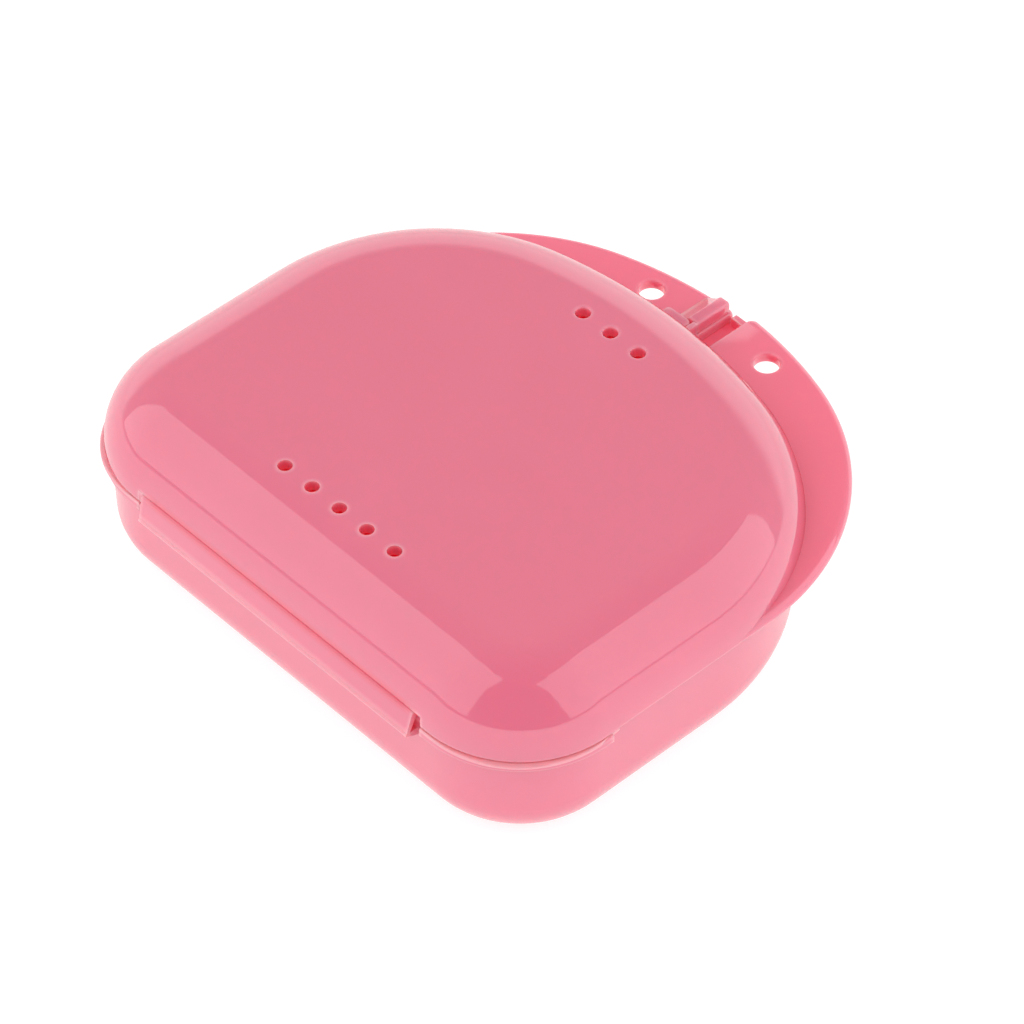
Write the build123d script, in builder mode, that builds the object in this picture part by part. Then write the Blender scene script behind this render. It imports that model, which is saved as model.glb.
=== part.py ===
from build123d import *
from math import atan2, degrees, hypot, sqrt
import os

# Closed retainer case, lying flat. The hinge is at +Y and the finger tabs are at -Y.
# The origin is under the middle of the case, on the surface that it stands on.

# Overall sizes of the closed case
case_width = 80.0
case_depth = 75.2
case_height = 25.4

# Lid and tray walls
lid_height = 10.4
wall = 1.5
floor_wall = 1.5
seat_gap = 0.2
lid_foot_round = 0.25
lid_edge_radius = 9.5
tray_edge_radius = 6.3
tray_draft = 1.5

# Plan of the case: round corners at the hinge, a wide bow in front
hinge_corner_radius = 14.2
front_corner_radius = 30.0
front_bow_radius = 70.0

# Rim lip round the tray's mouth, and the finger tab that is level with it
lip_proud = 0.15
lip_inset = 0.75
lip_end_inset = 15.3
rim_thickness = 1.3
rim_round = 0.3

# Finger tabs: the tray's half is at +X, the lid's half at -X
tab_reach = 9.4
tab_length = 35.0
tab_side_inset = 0.05
tab_corner_radius = 33.0
tab_bow_radius = 55.0
tab_edge_round = 0.7
lanyard_hole_diameter = 3.2
lanyard_hole_spacing = 19.8
lanyard_hole_edge = 4.8
hole_round = 0.25

# Vents in the lid's top
vent_diameter = 1.8
vent_pitch = 4.7
rear_vent_count = 5
front_vent_count = 3
rear_vent_inset = 9.9
front_vent_inset = 11.97

# Guide rim on the tray, inside the lid
guide_height = 1.4
guide_thickness = 0.55
guide_clearance = 0.2

# Living hinge: a thin leaf between a shelf on the tray and a rebate in the lid
leaf_length = 46.2
leaf_thickness = 0.6
leaf_rise = 2.9
leaf_lean = 0.95
leaf_proud = 1.13
fold_clearance = 0.12
rebate_end_room = 1.3
shelf_thickness = 0.8

# Latch between the two finger tabs
rib_height = 1.7
rib_crown_width = 1.5
rib_knee_width = 2.2
rib_knee_height = 1.0
rib_foot_width = 4.0
rib_crown_radius = 0.45
rib_face_x = 0.5
rib_ledge = 0.3
lid_tab_edge = 3.0
keeper_thickness = 0.6
keeper_drop = 0.8
latch_clearance = 0.25
sill_thickness = 0.6
sill_lap = 2.0
stop_width = 1.3
stop_length = 0.9
stop_height = 0.85
tongue_thickness = 0.6
tongue_reach = 2.9
tongue_width = 4.0
tongue_offset = 0.9
tongue_corner_radius = 0.6

# Levels and places worked out from the sizes above
parting = case_height - lid_height
lid_foot = parting + seat_gap
rim_bottom = parting - rim_thickness
tip_y = -case_depth / 2
leaf_outer_y = case_depth / 2
lip_half = case_width / 2
lid_half = lip_half - lip_proud
lid_back = leaf_outer_y - leaf_proud
lid_front = tip_y + tab_reach
tray_back = lid_back - lip_inset
lip_end_y = lid_back - lip_end_inset
tab_end_y = tip_y + tab_length
leaf_round = leaf_thickness / 2
low_fold_y = leaf_outer_y - leaf_round
low_fold_z = parting - leaf_rise / 2
high_fold_y = low_fold_y - leaf_lean
high_fold_z = low_fold_z + leaf_rise
shelf_edge = low_fold_y - leaf_round - fold_clearance
rebate_y = high_fold_y - leaf_round - fold_clearance
rebate_top = high_fold_z + leaf_round + fold_clearance
rebate_half = leaf_length / 2 + rebate_end_room
rear_vent_y = lid_back - rear_vent_inset
front_vent_y = lid_front + front_vent_inset
lanyard_hole_x = lanyard_hole_spacing / 2
lanyard_hole_y = tip_y + lanyard_hole_edge
tray_tab_edge = rib_face_x - rib_ledge
keeper_x = -lid_tab_edge - keeper_thickness
sill_edge = keeper_x - latch_clearance
stop_x = (tray_tab_edge - lid_tab_edge) / 2
strip_back = lid_front - lip_proud - latch_clearance
tongue_x = rib_face_x + tongue_offset
rib_start_y = lid_front - tongue_reach - latch_clearance


def plan(half, back, front, back_radius, front_radius, bow_radius):
    """Plan with round corners and a bowed front, alike on both sides of the YZ plane."""
    bow_y = front + bow_radius
    corner_x = half - front_radius
    corner_y = bow_y - sqrt((bow_radius - front_radius) ** 2 - corner_x**2)
    turn = degrees(atan2(corner_y - bow_y, corner_x))
    with BuildSketch() as shape:
        with BuildLine():
            Line((0, back), (half - back_radius, back))
            CenterArc((half - back_radius, back - back_radius), back_radius, 90, -90)
            Line((half, back - back_radius), (half, corner_y))
            CenterArc((corner_x, corner_y), front_radius, 0, turn)
            CenterArc((0, bow_y), bow_radius, turn, -90 - turn)
            mirror(about=Plane.YZ)
        make_face()
    return shape.sketch


def case_plan(inset):
    """Plan of the lid's outer wall, moved inwards by a distance."""
    return plan(
        lid_half - inset,
        lid_back - inset,
        lid_front + inset,
        hinge_corner_radius - inset,
        front_corner_radius - inset,
        front_bow_radius - inset,
    )


def tab_plan(inset=0):
    """Plan of the finger crescent, and of the case behind it up to the hinge corners."""
    return plan(
        lid_half - tab_side_inset - inset,
        lid_back - hinge_corner_radius,
        tip_y + inset,
        2 * tab_edge_round,
        tab_corner_radius - inset,
        tab_bow_radius - inset,
    )


def tab_strip(low_x, high_x, inset=0):
    """Strip of the crescent in front of the rim lip, between two places along X."""
    with BuildSketch() as shape:
        add(tab_plan(inset))
        with Locations((low_x, tip_y)):
            Rectangle(high_x - low_x, strip_back - tip_y, align=Align.MIN, mode=Mode.INTERSECT)
    return shape.sketch


def finger_plate(level, side, edge_x):
    """Plate of one half tab with its lanyard hole, running back under the case's outline."""
    with BuildPart() as plate:
        with BuildSketch(Plane.XY.offset(level)):
            add(tab_plan())
        extrude(amount=rim_thickness)
        fillet(plate.edges().group_by(Axis.Z)[-1], tab_edge_round)
        fillet(plate.edges().group_by(Axis.Z)[0], rim_round)
        split(bisect_by=Plane.YZ.offset(edge_x), keep=Keep.TOP if side > 0 else Keep.BOTTOM)
        with Locations((side * lanyard_hole_x, lanyard_hole_y, level + rim_thickness)):
            Hole(lanyard_hole_diameter / 2, rim_thickness)
        fillet(plate.faces().sort_by(Axis.Z)[-1].inner_wires().edges(), hole_round)
    return plate.part


def tab_root(plate, level, inset):
    """The plate's share inside the case's outline."""
    with BuildPart() as root:
        add(plate)
        with BuildSketch(Plane.XY.offset(level)):
            add(case_plan(inset))
        extrude(amount=rim_thickness, mode=Mode.INTERSECT)
    return root.part


def tab_crescent(plate, level, inset):
    """The plate's share outside the case's outline, with a blunt end beside the case."""
    with BuildPart() as crescent:
        add(plate)
        with BuildSketch(Plane.XY.offset(level)):
            add(case_plan(inset))
            with Locations((0, tab_end_y)):
                Rectangle(case_width, case_depth, align=(Align.CENTER, Align.MIN))
        extrude(amount=rim_thickness, mode=Mode.SUBTRACT)
    return crescent.part


tray_plate = finger_plate(rim_bottom, 1, tray_tab_edge)
lid_plate = finger_plate(lid_foot, -1, -lid_tab_edge)

# Space inside the tray
with BuildPart() as tray_space:
    with BuildSketch(Plane.XY.offset(parting)):
        add(case_plan(lip_inset + wall))
    extrude(amount=floor_wall - parting, taper=tray_draft)
    fillet(tray_space.edges().group_by(Axis.Z)[0], tray_edge_radius - wall)

# Space inside the lid
with BuildPart() as lid_space:
    with BuildSketch(Plane.XY.offset(parting)):
        add(case_plan(wall))
    extrude(amount=lid_height - wall)
    fillet(lid_space.edges().group_by(Axis.Z)[-1], lid_edge_radius - wall)

# Lip round the tray's mouth, left out at the hinge and beside the lid's finger tab
with BuildPart() as rim_lip:
    with BuildSketch(Plane.XY.offset(rim_bottom)):
        add(case_plan(-lip_proud))
    extrude(amount=rim_thickness)
    fillet(rim_lip.edges().group_by(Axis.Z)[-1], rim_round)
    fillet(rim_lip.edges().group_by(Axis.Z)[0], rim_round)
    with BuildSketch(Plane.XY.offset(rim_bottom)):
        with Locations((0, tray_back)):
            Rectangle(2 * rebate_half, case_depth, align=(Align.CENTER, Align.MIN))
        with Locations((0, lip_end_y)):
            Rectangle(case_width, case_depth, align=Align.MAX)
    extrude(amount=rim_thickness, mode=Mode.SUBTRACT)

# Tray with its lip, and the root of its finger tab
with BuildPart() as base_tray:
    with BuildSketch(Plane.XY.offset(parting)):
        add(case_plan(lip_inset))
    extrude(amount=-parting, taper=tray_draft)
    fillet(base_tray.edges().group_by(Axis.Z)[0], tray_edge_radius)
    add(rim_lip.part)
    add(tab_root(tray_plate, rim_bottom, -lip_proud))
    add(tray_space.part, mode=Mode.SUBTRACT)
base_tray.part.label = "base_tray"

# The tray's half of the finger tab, at +X, outside the lip
with BuildPart() as tray_finger_tab:
    add(tab_crescent(tray_plate, rim_bottom, -lip_proud))
tray_finger_tab.part.label = "tray_finger_tab"

# Guide rim standing on the tray's mouth, inside the lid
with BuildPart() as guide_rim:
    with BuildSketch(Plane.XY.offset(parting)):
        add(case_plan(wall + guide_clearance))
        add(case_plan(wall + guide_clearance + guide_thickness), mode=Mode.SUBTRACT)
    extrude(amount=guide_height)
guide_rim.part.label = "guide_rim"

# Shelf that carries the leaf's lower fold
with BuildPart() as hinge_shelf:
    with BuildSketch(Plane.XY.offset(low_fold_z - shelf_thickness)):
        with Locations((0, tray_back)):
            Rectangle(leaf_length, shelf_edge - tray_back, align=(Align.CENTER, Align.MIN))
    extrude(amount=shelf_thickness)
hinge_shelf.part.label = "hinge_shelf"

# Upright rib at the end of the tray's tab
with BuildPart() as latch_rib:
    with BuildSketch(Plane.XZ.offset(-rib_start_y)) as rib_profile:
        with BuildLine():
            Polyline(
                (rib_face_x, parting),
                (rib_face_x, parting + rib_height),
                (rib_face_x + rib_crown_width, parting + rib_height),
                (rib_face_x + rib_knee_width, parting + rib_knee_height),
                (rib_face_x + rib_foot_width, parting),
                close=True,
            )
        make_face()
        fillet(rib_profile.vertices().group_by(Axis.Y)[-1], rib_crown_radius)
    extrude(amount=tab_reach)
    with BuildSketch(Plane.XY.offset(parting)):
        add(tab_plan(tab_edge_round))
    extrude(amount=rib_height, mode=Mode.INTERSECT)
latch_rib.part.label = "latch_rib"

# Sill under the gap between the tabs, with a low stop at its outer end
with BuildPart() as latch_sill:
    with BuildSketch(Plane.XY.offset(rim_bottom - sill_thickness)):
        add(tab_strip(sill_edge, tray_tab_edge + sill_lap, rim_round))
    extrude(amount=sill_thickness)
    with BuildSketch(Plane.XY.offset(rim_bottom)):
        add(tab_strip(stop_x - stop_width / 2, stop_x + stop_width / 2, rim_round))
        with Locations((0, tip_y + rim_round + stop_length)):
            Rectangle(case_width, case_depth, align=(Align.CENTER, Align.MIN), mode=Mode.SUBTRACT)
    extrude(amount=rim_thickness + stop_height)
    fillet(latch_sill.edges().group_by(Axis.Z)[-1], rim_round)
latch_sill.part.label = "latch_sill"

# Leaf of the living hinge, from the lower fold to the upper one
with BuildPart() as hinge_leaf:
    with BuildSketch(Plane.YZ.offset(-leaf_length / 2)):
        with Locations((low_fold_y - leaf_lean / 2, parting)):
            SlotCenterToCenter(
                hypot(leaf_lean, leaf_rise),
                leaf_thickness,
                rotation=90 + degrees(atan2(leaf_lean, leaf_rise)),
            )
    extrude(amount=leaf_length)
hinge_leaf.part.label = "hinge_leaf"

# Lid with its vents
with BuildPart() as lid_shell:
    with BuildSketch(Plane.XY.offset(lid_foot)):
        add(case_plan(0))
    extrude(amount=case_height - lid_foot)
    fillet(lid_shell.edges().group_by(Axis.Z)[-1], lid_edge_radius)
    fillet(lid_shell.edges().group_by(Axis.Z)[0], lid_foot_round)
    add(lid_space.part, mode=Mode.SUBTRACT)
    # Rebate for the leaf's upper fold
    with BuildSketch(Plane.XY.offset(lid_foot)):
        with Locations((0, rebate_y)):
            Rectangle(2 * rebate_half, 2 * leaf_proud, align=(Align.CENTER, Align.MIN))
    extrude(amount=rebate_top - lid_foot, mode=Mode.SUBTRACT)
    with Locations((0, rear_vent_y, case_height)):
        with GridLocations(vent_pitch, 0, rear_vent_count, 1):
            Hole(vent_diameter / 2, 2 * wall)
    with Locations((0, front_vent_y, case_height)):
        with GridLocations(vent_pitch, 0, front_vent_count, 1):
            Hole(vent_diameter / 2, 2 * wall)
    fillet(lid_shell.faces().sort_by(Axis.Z)[-1].inner_wires().edges(), hole_round)
lid_shell.part.label = "lid_shell"

# The lid's half of the finger tab, at -X, outside the lid's wall
with BuildPart() as lid_finger_tab:
    add(tab_crescent(lid_plate, lid_foot, 0))
lid_finger_tab.part.label = "lid_finger_tab"

# Tongue of the lid over the tray's tab, behind the latch rib
with BuildPart() as latch_tongue:
    with BuildSketch(Plane.XY.offset(lid_foot)) as tongue_outline:
        with Locations((tongue_x, lid_front - tongue_reach)):
            Rectangle(tongue_width, tongue_reach + wall, align=Align.MIN)
        fillet(tongue_outline.vertices().group_by(Axis.Y)[0], tongue_corner_radius)
        add(case_plan(0), mode=Mode.SUBTRACT)
    extrude(amount=tongue_thickness)
latch_tongue.part.label = "latch_tongue"

# Keeper flange under the edge of the lid's tab, facing the rib
with BuildPart() as latch_keeper:
    with BuildSketch(Plane.XY.offset(lid_foot - keeper_drop)):
        add(tab_strip(keeper_x, -lid_tab_edge, rim_round))
    extrude(amount=keeper_drop)
latch_keeper.part.label = "latch_keeper"

pieces = (
    base_tray,
    tray_finger_tab,
    guide_rim,
    hinge_shelf,
    latch_rib,
    latch_sill,
    hinge_leaf,
    lid_shell,
    lid_finger_tab,
    latch_tongue,
    latch_keeper,
)
os.makedirs("parts", exist_ok=True)
for piece in pieces:
    export_step(piece.part, "parts/" + piece.part.label + ".step")
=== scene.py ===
from math import asin, atan2, cos, pi, radians, sin, sqrt

import bmesh
import bpy
from mathutils import Matrix, Vector


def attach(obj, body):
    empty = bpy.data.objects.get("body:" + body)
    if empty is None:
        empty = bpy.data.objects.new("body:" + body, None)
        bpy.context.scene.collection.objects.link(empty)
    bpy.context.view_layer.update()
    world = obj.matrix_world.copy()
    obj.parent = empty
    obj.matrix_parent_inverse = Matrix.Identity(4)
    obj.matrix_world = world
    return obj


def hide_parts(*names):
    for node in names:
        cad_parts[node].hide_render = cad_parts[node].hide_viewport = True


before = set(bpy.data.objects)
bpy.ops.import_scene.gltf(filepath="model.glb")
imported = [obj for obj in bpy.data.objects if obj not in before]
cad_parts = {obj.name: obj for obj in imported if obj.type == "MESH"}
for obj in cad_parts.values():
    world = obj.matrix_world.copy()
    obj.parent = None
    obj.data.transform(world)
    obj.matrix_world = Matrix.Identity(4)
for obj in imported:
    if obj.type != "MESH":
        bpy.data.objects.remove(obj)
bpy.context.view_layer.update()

# A closed retainer case, one moulding in pink polypropylene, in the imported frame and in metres.
# The hinge is at +Y and the finger tabs are at -Y. The tray's half of the tab is at +X.
# Sizes are written in millimetres and come to metres through MM.
MM = 0.001
scene = bpy.context.scene


# Materials

# Painted colours: edges get a paler painted highlight, and the valley at the upper fold a deeper red
# painted shade
EDGE_HIGHLIGHT_PINK = "FFD8E2"
# Painted shade colour for the valley along the upper fold
VALLEY_SHADE_RED = "F27C96"
LIGHT_THROUGH_WALL = 0.46  # share of the light that passes the wall
FOLD_VALLEY = (0, 36.5, 16.9)  # on the line between the leaf and the lid


def linear(hex_code):
    """An sRGB hex colour as the linear colour that a shader socket takes."""
    channels = [int(hex_code[i : i + 2], 16) / 255 for i in (0, 2, 4)]
    return [c / 12.92 if c <= 0.04045 else ((c + 0.055) / 1.055) ** 2.4 for c in channels] + [1.0]


def node(material, kind, settings=(), **sockets):
    """A new node: its settings by name, and its inputs by name with _ for a space. An input
    takes a number, a colour or another node's output socket."""
    made = material.node_tree.nodes.new(kind)
    for name, value in dict(settings).items():
        setattr(made, name, value)
    for name, value in sockets.items():
        name = name.replace("_", " ")
        socket = made.inputs[int(name)] if name.strip().isdigit() else made.inputs[name]
        if isinstance(value, bpy.types.NodeSocket):
            material.node_tree.links.new(value, socket)
        else:
            socket.default_value = value
    return made


def moulded_polypropylene(name, pale, deep, glow):
    """Pink polypropylene from a polished mould. It is glossy like wet sugar, its thin walls
    pass red light, the melt has swirled faintly as it filled the mould, and the skin has the
    slow waves of shrinkage and a few hairline marks from handling."""
    material = bpy.data.materials.new(name)
    material.use_nodes = True
    tree = material.node_tree
    skin = tree.nodes["Principled BSDF"]
    place = node(material, "ShaderNodeTexCoord").outputs["Object"]

    # Melt swirls about 20 mm long
    swirl = node(
        material, "ShaderNodeTexNoise", Vector=place, Scale=1 / (20 * MM), Detail=3.0, Distortion=1.2
    )
    tint = node(
        material, "ShaderNodeMix", {"data_type": "RGBA"},
        _0=swirl.outputs["Fac"], _6=linear(deep), _7=linear(pale),
    )

    # Painted highlight: an edge, found by a short look inside the solid, is painted paler, as an edge
    # that gathers light from both of its sides looks paler than the flat beside it
    solid = node(
        material, "ShaderNodeAmbientOcclusion", {"inside": True, "only_local": True, "samples": 4},
        Distance=0.6 * MM,
    )
    edge = node(material, "ShaderNodeMapRange", Value=solid.outputs["AO"], From_Min=0.9, From_Max=0.4)
    lit = node(
        material, "ShaderNodeMix", {"data_type": "RGBA"},
        _0=edge.outputs[0], _6=tint.outputs[2], _7=linear(EDGE_HIGHLIGHT_PINK),
    )

    # Painted shade: the valley along the upper fold, as long as the leaf, is painted a deeper red
    # where the fold's shade and red light fall
    across = node(
        material, "ShaderNodeVectorMath", {"operation": "MULTIPLY"}, _0=place, _1=(0, 1, 1)
    )
    away = node(
        material, "ShaderNodeVectorMath", {"operation": "DISTANCE"},
        _0=across.outputs[0], _1=Vector(FOLD_VALLEY) * MM,
    )
    depth = node(
        material, "ShaderNodeMapRange", {"interpolation_type": "SMOOTHSTEP"},
        Value=away.outputs["Value"], From_Min=1.1 * MM, From_Max=0.1 * MM,
    )
    apart = node(material, "ShaderNodeSeparateXYZ", Vector=place)
    aside = node(material, "ShaderNodeMath", {"operation": "ABSOLUTE"}, _0=apart.outputs["X"])
    along = node(
        material, "ShaderNodeMapRange",
        Value=aside.outputs[0], From_Min=23.8 * MM, From_Max=21.5 * MM,
    )
    valley_shade_mask = node(
        material, "ShaderNodeMath", {"operation": "MULTIPLY"}, _0=depth.outputs[0], _1=along.outputs[0]
    )
    valley_shaded = node(
        material, "ShaderNodeMix", {"data_type": "RGBA"},
        _0=valley_shade_mask.outputs[0], _6=lit.outputs[2], _7=linear(VALLEY_SHADE_RED),
    )
    tree.links.new(valley_shaded.outputs[2], skin.inputs["Base Color"])

    # Shrinkage waves 9 mm apart, and hairlines 0.15 mm wide that cross the skin one way
    wave = node(material, "ShaderNodeTexNoise", Vector=place, Scale=1 / (9 * MM), Detail=1.0)
    comb = node(
        material, "ShaderNodeMapping", Vector=place, Rotation=(0.4, 0.3, 0.7), Scale=(0.03, 1.0, 1.0)
    )
    hair = node(
        material, "ShaderNodeTexNoise", Vector=comb.outputs[0], Scale=1 / (0.9 * MM), Detail=2.0
    )
    rare = node(
        material, "ShaderNodeMapRange", Value=hair.outputs["Fac"], From_Min=0.70, From_Max=0.78
    )
    swell = node(material, "ShaderNodeBump", Height=wave.outputs["Fac"], Distance=0.012 * MM)
    scratch = node(
        material, "ShaderNodeBump", {"invert": True},
        Height=rare.outputs[0], Distance=0.004 * MM, Normal=swell.outputs[0],
    )
    tree.links.new(scratch.outputs[0], skin.inputs["Normal"])
    gloss = node(
        material, "ShaderNodeMapRange", Value=swirl.outputs["Fac"], To_Min=0.05, To_Max=0.09
    )
    worn = node(
        material, "ShaderNodeMath", {"operation": "MULTIPLY_ADD"},
        _0=rare.outputs[0], _1=0.10, _2=gloss.outputs[0],
    )
    tree.links.new(worn.outputs[0], skin.inputs["Roughness"])
    skin.inputs["IOR"].default_value = 1.5
    skin.inputs["Specular IOR Level"].default_value = 1.0
    skin.inputs["Coat Weight"].default_value = 1.0
    skin.inputs["Coat Roughness"].default_value = 0.04

    # Light that comes through the wall, redder than the skin
    inside = node(material, "ShaderNodeBsdfTranslucent", Color=linear(glow))
    wall = node(
        material, "ShaderNodeMixShader",
        _0=LIGHT_THROUGH_WALL, _1=skin.outputs[0], _2=inside.outputs[0],
    )
    tree.links.new(wall.outputs[0], tree.nodes["Material Output"].inputs["Surface"])
    return material


pink = moulded_polypropylene("moulded_pink_polypropylene", "EE94B2", "EA8EAB", "FF5E78")
# The leaf's copy is paler: partly the whitening of polypropylene where it flexes, partly a painted
# highlight for its bright fold edge
flexed_and_highlit = moulded_polypropylene("flexed_pink_polypropylene", "F398B5", "EE92AE", "FF6A84")


# Shared sizes of the case

# Front outlines: half width, tip, corner radius and bow radius
LID_OUTLINE = (39.85, -28.2, 30.0, 70.0)
TAB_OUTLINE = (39.8, -37.6, 33.0, 55.0)
TAB_END_Y = 6.0  # the crescent reaches back this far along the case's side
OUTER_NOSE, INNER_NOSE = 0.8, 0.1  # radii where its outer and inner outlines meet the latch
HOLE_X, HOLE_Y, HOLE_RADIUS = 9.9, -32.8, 1.6
# The tray's rim, the end of the leaf's rebate in it, and where the bead runs out
RIM_HALF, RIM_BACK = 40.0, 36.62
REBATE_END_X = 24.4
BEAD_END_Y, BEAD_END_INSET = 20.0, 0.35
# The leaf's two folds in Y and Z
LOW_FOLD, HIGH_FOLD = (37.3, 13.55), (36.35, 16.45)


# Mesh tools

def put(bm, name, material):
    """Close a mesh, point its faces outwards and place it in the scene."""
    bmesh.ops.remove_doubles(bm, verts=bm.verts, dist=0.001 * MM)
    bmesh.ops.recalc_face_normals(bm, faces=bm.faces)
    mesh = bpy.data.meshes.new(name)
    bm.to_mesh(mesh)
    bm.free()
    mesh.shade_smooth()
    mesh.set_sharp_from_angle(angle=radians(32))
    mesh.materials.append(material)
    piece = bpy.data.objects.new(name, mesh)
    scene.collection.objects.link(piece)
    return piece


def round_edges(bm, edges, radius):
    """A small round on the edges."""
    bmesh.ops.bevel(
        bm, geom=edges, offset=radius * MM, offset_type="OFFSET", affect="EDGES", segments=3,
        profile=0.5, material=-1, clamp_overlap=True,
    )


def to_other_side(bm):
    """Mirror a mesh from +X to -X."""
    bmesh.ops.scale(bm, verts=bm.verts, vec=(-1, 1, 1))


def walk(bm, start, *legs):
    """A wire from a start point: a leg is a point to run to, or a centre and a turn about Z.
    It gives the wire's two ends."""
    first = tip = bm.verts.new(Vector(start) * MM)
    for leg in legs:
        if len(leg) == 3:
            tip = bmesh.ops.extrude_vert_indiv(bm, verts=[tip])["verts"][0]
            tip.co = Vector(leg) * MM
        else:
            centre, turn = leg
            spun = bmesh.ops.spin(
                bm, geom=[tip], cent=Vector(centre) * MM, axis=(0, 0, 1), angle=turn,
                steps=max(3, int(abs(turn) / radians(2.0))), dvec=(0, 0, 0),
                use_duplicate=False, use_merge=False, use_normal_flip=False,
            )
            tip = next(v for v in spun["geom_last"] if isinstance(v, bmesh.types.BMVert))
    return first, tip


# Finger tabs

def front(outline, inset, z, latch_x, nose):
    """The start and legs of a front outline at one height, from the latch to the case's side:
    a round nose, the bow, the corner and the straight side."""
    half, tip_y, corner, bow = outline
    half, tip_y, corner, bow = half - inset, tip_y + inset, corner - inset, bow - inset
    bow_y = tip_y + bow
    corner_x = half - corner
    corner_y = bow_y - sqrt((bow - corner) ** 2 - corner_x**2)
    turn = atan2(corner_y - bow_y, corner_x)
    nose_x = latch_x + nose
    lead = asin(nose_x / (bow - nose)) - pi / 2
    nose_y = bow_y + (bow - nose) * sin(lead)
    return (
        (latch_x, nose_y, z),
        ((nose_x, nose_y, z), pi + lead),
        ((0, bow_y, z), turn - lead),
        ((corner_x, corner_y, z), -turn),
        (half, TAB_END_Y, z),
    )


def plate_loop(bm, z, inset, latch_x, wall_inset):
    """A closed outline of a finger plate at one height. Its outer edge draws in by the inset,
    and its latch edge by a fifth of it. Its inner edge stays inside the case's wall."""
    before = set(bm.edges)
    latch_x += 0.2 * inset
    outer = walk(bm, *front(TAB_OUTLINE, inset, z, latch_x, OUTER_NOSE))
    inner = walk(bm, *front(LID_OUTLINE, wall_inset, z, latch_x, INNER_NOSE))
    bm.edges.new((outer[0], inner[0]))
    bm.edges.new((outer[1], inner[1]))
    return [e for e in bm.edges if e not in before]


def hole_loop(bm, z, radius):
    """A circle round the lanyard hole at one height."""
    centre = Vector((HOLE_X, HOLE_Y, z)) * MM
    made = bmesh.ops.create_circle(
        bm, segments=48, radius=radius * MM, matrix=Matrix.Translation(centre)
    )
    return list({e for v in made["verts"] for e in v.link_edges})


def rounded_rim(low, high, foot_round, top_round):
    """Inset and height of each step up a rim with a round foot and a round top."""
    foot = [radians(d) for d in (0, 30, 60, 90)]
    top = [radians(d) for d in (0, 15, 30, 45, 60, 75, 90)]
    return (
        [(foot_round * (1 - sin(a)), low + foot_round * (1 - cos(a))) for a in foot]
        + [(top_round * (1 - cos(a)), high - top_round * (1 - sin(a))) for a in top]
    )


def finger_plate(name, low, high, latch_x, wall_inset, top_round):
    """Half of the finger crescent with its lanyard hole, rooted inside the case's wall."""
    bm = bmesh.new()
    rims = [
        plate_loop(bm, z, inset, latch_x, wall_inset)
        for inset, z in rounded_rim(low, high, 0.3, top_round)
    ]
    bores = [
        hole_loop(bm, z, HOLE_RADIUS + inset) for inset, z in rounded_rim(low, high, 0.15, 0.3)
    ]
    for loops in (rims, bores):
        for below, above in zip(loops, loops[1:]):
            bmesh.ops.bridge_loops(bm, edges=below + above)
    for end in (0, -1):
        bmesh.ops.triangle_fill(bm, edges=rims[end] + bores[end], use_beauty=True)
    if name.startswith("lid"):
        to_other_side(bm)
    return put(bm, name, pink)


# Hinge

def bar(name, section, low_x, high_x, material, edge, slant=0.0):
    """A bar along X. Its section is the start and legs of a walk, with Y and Z drawn as X and
    Y. Its end edges are rounded, and its ends may lean outwards with height."""
    bm = bmesh.new()
    first, last = walk(bm, *section)
    bm.edges.new((last, first))
    face = bmesh.ops.contextual_create(bm, geom=bm.edges[:])["faces"][0]
    stand_up = Matrix(((0, 0, 1, low_x * MM), (1, 0, 0, 0), (0, 1, 0, 0), (0, 0, 0, 1)))
    bmesh.ops.transform(bm, verts=bm.verts, matrix=stand_up)
    run = bmesh.ops.extrude_face_region(bm, geom=[face])
    far = [v for v in run["geom"] if isinstance(v, bmesh.types.BMVert)]
    bmesh.ops.translate(bm, verts=far, vec=((high_x - low_x) * MM, 0, 0))
    near = [v for v in bm.verts if v not in far]
    start_z = section[0][1] * MM
    for verts, lean in ((near, -slant), (far, slant)):
        shear = Matrix(((1, 0, lean, -lean * start_z), (0, 1, 0, 0), (0, 0, 1, 0), (0, 0, 0, 1)))
        bmesh.ops.transform(bm, verts=verts, matrix=shear)
    bmesh.ops.recalc_face_normals(bm, faces=bm.faces)
    round_edges(bm, [e for f in bm.faces if len(f.verts) > 4 for e in f.edges], edge)
    return put(bm, name, material)


def leaf_section(low, high, low_round, high_round, face):
    """The leaf's section: a round fold at each end, a flat back, and a face that sits back
    from the low fold, which stands proud as a bead."""
    low, high = Vector((*low, 0)), Vector((*high, 0))
    along = (high - low).normalized()
    out = Vector((along.y, -along.x, 0))
    bead = sqrt(low_round**2 - face**2)
    start = low + out * face + along * bead
    turn = -pi - atan2(bead, face)
    return start, (low, turn), high - out * high_round, (high, -pi)


SHELF_SECTION = (
    (35.4, 12.3, 0), (36.2, 12.55, 0), (36.9, 12.95, 0), (37.2, 13.2, 0),
    (37.15, 13.42, 0), (36.9, 13.55, 0), (35.4, 13.55, 0),
)


def hinge_corner_loop(bm, inset, z, corner):
    """A wire round one hinge corner of the rim, from the leaf's rebate to the case's side,
    where it runs out into the wall."""
    back, half = RIM_BACK - inset, RIM_HALF - inset
    centre = (half - corner, back - corner, z)
    before = set(bm.edges)
    walk(
        bm, (REBATE_END_X, back, z), (centre[0], back, z), (centre, -pi / 2),
        (half - BEAD_END_INSET, BEAD_END_Y, z),
    )
    return [e for e in bm.edges if e not in before]


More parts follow.
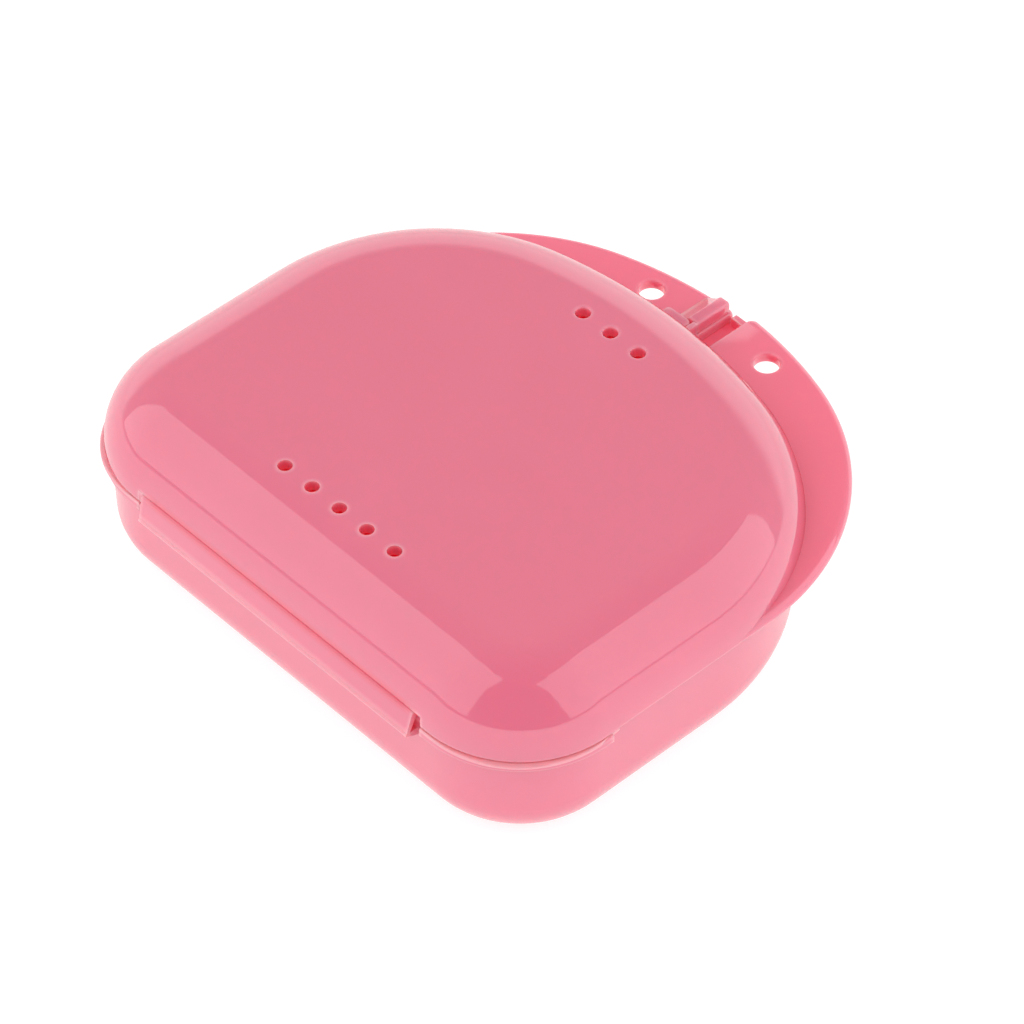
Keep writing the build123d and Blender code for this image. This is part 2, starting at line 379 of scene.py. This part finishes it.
def lip_bead(name):
    """The rounded crest of the tray's lip at one hinge corner. It swells at the corner."""
    steps = (
        (0.6, 14.55, 13.5), (0.1, 14.6, 13.5), (0.0, 14.75, 13.4),
        (0.03, 14.92, 13.45), (0.14, 15.04, 13.5), (0.6, 15.08, 13.6),
    )
    bm = bmesh.new()
    loops = [hinge_corner_loop(bm, inset, z, corner) for inset, z, corner in steps]
    for below, above in zip(loops, loops[1:]):
        bmesh.ops.bridge_loops(bm, edges=below + above)
    bmesh.ops.bridge_loops(bm, edges=loops[-1] + loops[0])
    bmesh.ops.holes_fill(bm, edges=[e for e in bm.edges if e.is_boundary], sides=0)
    if name.endswith("right"):
        to_other_side(bm)
    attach(put(bm, name, pink), "tray")


def block(name, low, high, edge, body):
    """A block between two corners with rounded edges."""
    low, high = Vector(low), Vector(high)
    bm = bmesh.new()
    bmesh.ops.create_cube(bm, size=MM)
    bmesh.ops.scale(bm, verts=bm.verts, vec=high - low)
    bmesh.ops.translate(bm, verts=bm.verts, vec=(high + low) / 2 * MM)
    round_edges(bm, bm.edges[:], edge)
    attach(put(bm, name, pink), body)


# Latch

def soften(node_name, name, edge, moves):
    """A copy of a CAD piece with its doubles merged, its flats cleared and its edges rounded. Each
    move takes the vertices between two corners along by a shift."""
    bm = bmesh.new()
    bm.from_mesh(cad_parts[node_name].data)
    bmesh.ops.remove_doubles(bm, verts=bm.verts, dist=0.002 * MM)
    bmesh.ops.dissolve_limit(bm, angle_limit=radians(4), verts=bm.verts, edges=bm.edges)
    for low, high, shift in moves:
        moved = [
            v for v in bm.verts
            if all(least * MM < at < most * MM for least, at, most in zip(low, v.co, high))
        ]
        bmesh.ops.translate(bm, verts=moved, vec=Vector(shift) * MM)
    sharp = [e for e in bm.edges if len(e.link_faces) == 2 and e.calc_face_angle() > radians(40)]
    round_edges(bm, sharp, edge)
    return put(bm, name, pink)


# The stop on the sill is lowered, widened to both sides and drawn in from the crescent's edge
SILL_MOVES = (
    ((-2.2, -40, 14), (-0.5, -30, 17), (0, 0, -0.75)),
    ((-2.2, -40, 13.65), (-1.4, -30, 17), (-0.8, 0, 0)),
    ((-1.4, -40, 13.65), (-0.5, -30, 17), (0.5, 0, 0)),
    ((-3.2, -36.8, 13.65), (-0.5, -30, 17), (0, 0.4, 0)),
)
# The tongue's top is raised, and its tip reaches out to the rib's root
TONGUE_MOVES = (
    ((0, -40, 15.6), (6, -20, 17), (0, 0, 0.65)),
    ((0, -40, 15), (6, -30, 17), (0, -0.2, 0)),
)


# The case

for carried in ("base_tray", "guide_rim", "lid_shell"):
    carried_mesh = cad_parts[carried].data
    carried_mesh.materials.clear()
    carried_mesh.materials.append(pink)

tray_tab = finger_plate(
    "tray_finger_plate", low=13.68, high=15.02, latch_x=0.2, wall_inset=1.4, top_round=0.7
)
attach(tray_tab, "tray")
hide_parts("tray_finger_tab")
lid_tab = finger_plate(
    "lid_finger_plate", low=15.18, high=16.5, latch_x=3.0, wall_inset=0.9, top_round=0.95
)
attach(lid_tab, "lid")
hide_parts("lid_finger_tab")

folds = leaf_section(LOW_FOLD, HIGH_FOLD, low_round=0.3, high_round=0.43, face=0.18)
leaf = bar(
    "living_hinge_leaf", folds, low_x=-23.2, high_x=23.45, material=flexed_and_highlit, edge=0.1, slant=0.06
)
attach(leaf, "leaf")
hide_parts("hinge_leaf")
shelf = bar(
    "hinge_shelf_gusset", SHELF_SECTION, low_x=-23.1, high_x=23.1, material=pink, edge=0.1
)
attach(shelf, "tray")
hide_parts("hinge_shelf")

lip_bead("lip_bead_left")
lip_bead("lip_bead_right")

# Fillets and webs that close the two ends of the leaf's rebate, and the block the rib starts in
for name, body, edge, low, high in (
    ("rebate_end_fillet", "lid", 0.08, (23.75, 35.0, 15.25), (24.6, 36.45, 17.0)),
    ("lip_end_fillet", "tray", 0.25, (23.75, 35.0, 13.72), (24.6, 36.6, 14.98)),
    ("rebate_end_web", "lid", 0.08, (-24.6, 34.8, 15.25), (-23.9, 36.0, 17.0)),
    ("lip_end_web", "tray", 0.25, (-24.6, 34.8, 13.72), (-23.9, 36.1, 14.98)),
    ("latch_rib_root", "tray", 0.2, (0.52, -31.6, 14.9), (1.3, -28.5, 16.6)),
):
    block(name, low, high, edge, body)

for node_name, name, body, edge, moves in (
    ("latch_rib", "latch_snap_rib", "tray", 0.2, ()),
    ("latch_sill", "latch_sill_and_stop", "tray", 0.1, SILL_MOVES),
    ("latch_tongue", "latch_cover_tongue", "lid", 0.15, TONGUE_MOVES),
    ("latch_keeper", "latch_keeper_flange", "lid", 0.1, ()),
):
    softened = soften(node_name, name, edge, moves)
    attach(softened, body)
    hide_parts(node_name)


# Stage, lamps and camera, in metres

CAMERA_PLACE = (-0.33093, 0.30768, 0.46333)
CAMERA_VIEW = Vector((0.5147, -0.4791, -0.7110))
CAMERA_LENS = 189.8
SOFTBOX_RADIANCE = 1.2
ROOM_LIGHT = 0.72


def lay_floor():
    """A pale floor that goes to white for the camera and keeps a faint shadow. It lies just
    under the case, so that the two don't share a plane."""
    bm = bmesh.new()
    bmesh.ops.create_circle(
        bm, cap_ends=True, segments=64, radius=6.0, matrix=Matrix.Translation((0, 0, -0.05 * MM))
    )
    mesh = bpy.data.meshes.new("floor")
    bm.to_mesh(mesh)
    bm.free()
    floor = bpy.data.objects.new("floor", mesh)
    scene.collection.objects.link(floor)
    material = bpy.data.materials.new("white_table")
    material.use_nodes = True
    tree = material.node_tree
    tree.nodes.remove(tree.nodes["Principled BSDF"])
    ray = node(material, "ShaderNodeLightPath")

    # What the case is lit by: white paper with some light of its own
    paper = node(material, "ShaderNodeBsdfDiffuse", Color=linear("F4F4F4"))
    back_lit = node(material, "ShaderNodeEmission", Color=linear("FFFFFF"), Strength=0.35)
    plain = node(material, "ShaderNodeAddShader", _0=paper.outputs[0], _1=back_lit.outputs[0])

    # What the camera and the gloss see: a nearly white floor with a faint shadow
    dim = node(material, "ShaderNodeBsdfDiffuse", Color=linear("A0A0A0"))
    strength = node(
        material, "ShaderNodeMath", {"operation": "MULTIPLY_ADD"},
        _0=ray.outputs["Is Glossy Ray"], _1=0.3, _2=0.78,
    )
    glow = node(
        material, "ShaderNodeEmission", Color=linear("FFFFFF"), Strength=strength.outputs[0]
    )
    bright = node(material, "ShaderNodeAddShader", _0=dim.outputs[0], _1=glow.outputs[0])
    looked_at = node(
        material, "ShaderNodeMath", {"operation": "MAXIMUM"},
        _0=ray.outputs["Is Camera Ray"], _1=ray.outputs["Is Glossy Ray"],
    )
    mix = node(
        material, "ShaderNodeMixShader",
        _0=looked_at.outputs[0], _1=plain.outputs[0], _2=bright.outputs[0],
    )

    # Seen from below, the table is clear, so that the underside of the case shows
    under = node(material, "ShaderNodeNewGeometry").outputs["Backfacing"]
    clear = node(material, "ShaderNodeBsdfTransparent")
    table = node(
        material, "ShaderNodeMixShader", _0=under, _1=mix.outputs[0], _2=clear.outputs[0]
    )
    tree.links.new(table.outputs[0], tree.nodes["Material Output"].inputs["Surface"])
    mesh.materials.append(material)


def light_the_room():
    """A dim white room round the two softboxes, white where the camera sees it."""
    world = bpy.data.worlds.new("room")
    scene.world = world
    world.use_nodes = True
    background = world.node_tree.nodes["Background"]
    ray = node(world, "ShaderNodeLightPath")

    # The gloss sees a ceiling that brightens away from the camera, and behind the case the
    # paper sweep, white up to some 30 degrees above the table
    place = node(world, "ShaderNodeTexCoord")
    toward = node(
        world, "ShaderNodeVectorMath", {"operation": "DOT_PRODUCT"},
        _0=place.outputs["Generated"], _1=(0.62, -0.58, -0.53),
    )
    ceiling = node(
        world, "ShaderNodeMapRange",
        Value=toward.outputs["Value"], From_Min=-0.9, From_Max=0.2, To_Min=0.02, To_Max=0.7,
    )
    sweep = node(
        world, "ShaderNodeMapRange", {"interpolation_type": "SMOOTHSTEP"},
        Value=toward.outputs["Value"], From_Min=0.36, From_Max=0.52,
        To_Min=ceiling.outputs["Result"], To_Max=1.7,
    )
    mirrored = node(
        world, "ShaderNodeMix",
        _0=ray.outputs["Is Glossy Ray"], _2=ROOM_LIGHT, _3=sweep.outputs["Result"],
    )
    seen = node(
        world, "ShaderNodeMix", _0=ray.outputs["Is Camera Ray"], _2=mirrored.outputs[0], _3=1.0
    )
    world.node_tree.links.new(seen.outputs[0], background.inputs["Strength"])
    background.inputs["Color"].default_value = (1, 1, 1, 1)


def softbox(name, low_corner, high_corner, width):
    """A leaning softbox that faces the case. Its near edge goes from the low corner to the high
    one, and it runs away from the camera, level, by its width."""
    low, high = Vector(low_corner), Vector(high_corner)
    up = high - low
    along = Vector((up.y, -up.x, 0)).normalized()
    if along.dot(CAMERA_VIEW) < 0:
        along = -along
    centre = (low + high) / 2 + along * width / 2
    facing = along.cross(up).normalized()
    if facing.dot(-centre) < 0:
        facing = -facing
    lamp = bpy.data.lights.new(name, "AREA")
    lamp.shape = "RECTANGLE"
    lamp.size = width
    lamp.size_y = up.length
    lamp.energy = SOFTBOX_RADIANCE * pi * width * up.length
    box = bpy.data.objects.new(name, lamp)
    scene.collection.objects.link(box)
    # A lamp shines down its own -Z
    lamp_y = up.normalized()
    lamp_x = lamp_y.cross(-facing)
    axes = Matrix((lamp_x, lamp_y, -facing)).transposed()
    box.matrix_world = Matrix.Translation(centre) @ axes.to_4x4()


lay_floor()
light_the_room()
softbox("left_softbox", (-0.045, 0.77715, 0.0675), (-0.1458, 0.45675, 1.0404), 1.08)
softbox("right_softbox", (-0.80775, 0.03465, 0.05085), (-0.42165, 0.14535, 0.7614), 1.1025)

camera_data = bpy.data.cameras.new("camera")
camera_data.lens = CAMERA_LENS
camera = bpy.data.objects.new("camera", camera_data)
scene.collection.objects.link(camera)
camera.location = CAMERA_PLACE
camera.rotation_mode = "QUATERNION"
camera.rotation_quaternion = CAMERA_VIEW.to_track_quat("-Z", "Y")
scene.camera = camera
scene.view_settings.view_transform = "Standard"

# Light has to pass from wall to wall many times before the plastic glows evenly
scene.cycles.max_bounces = 32
scene.cycles.diffuse_bounces = 24
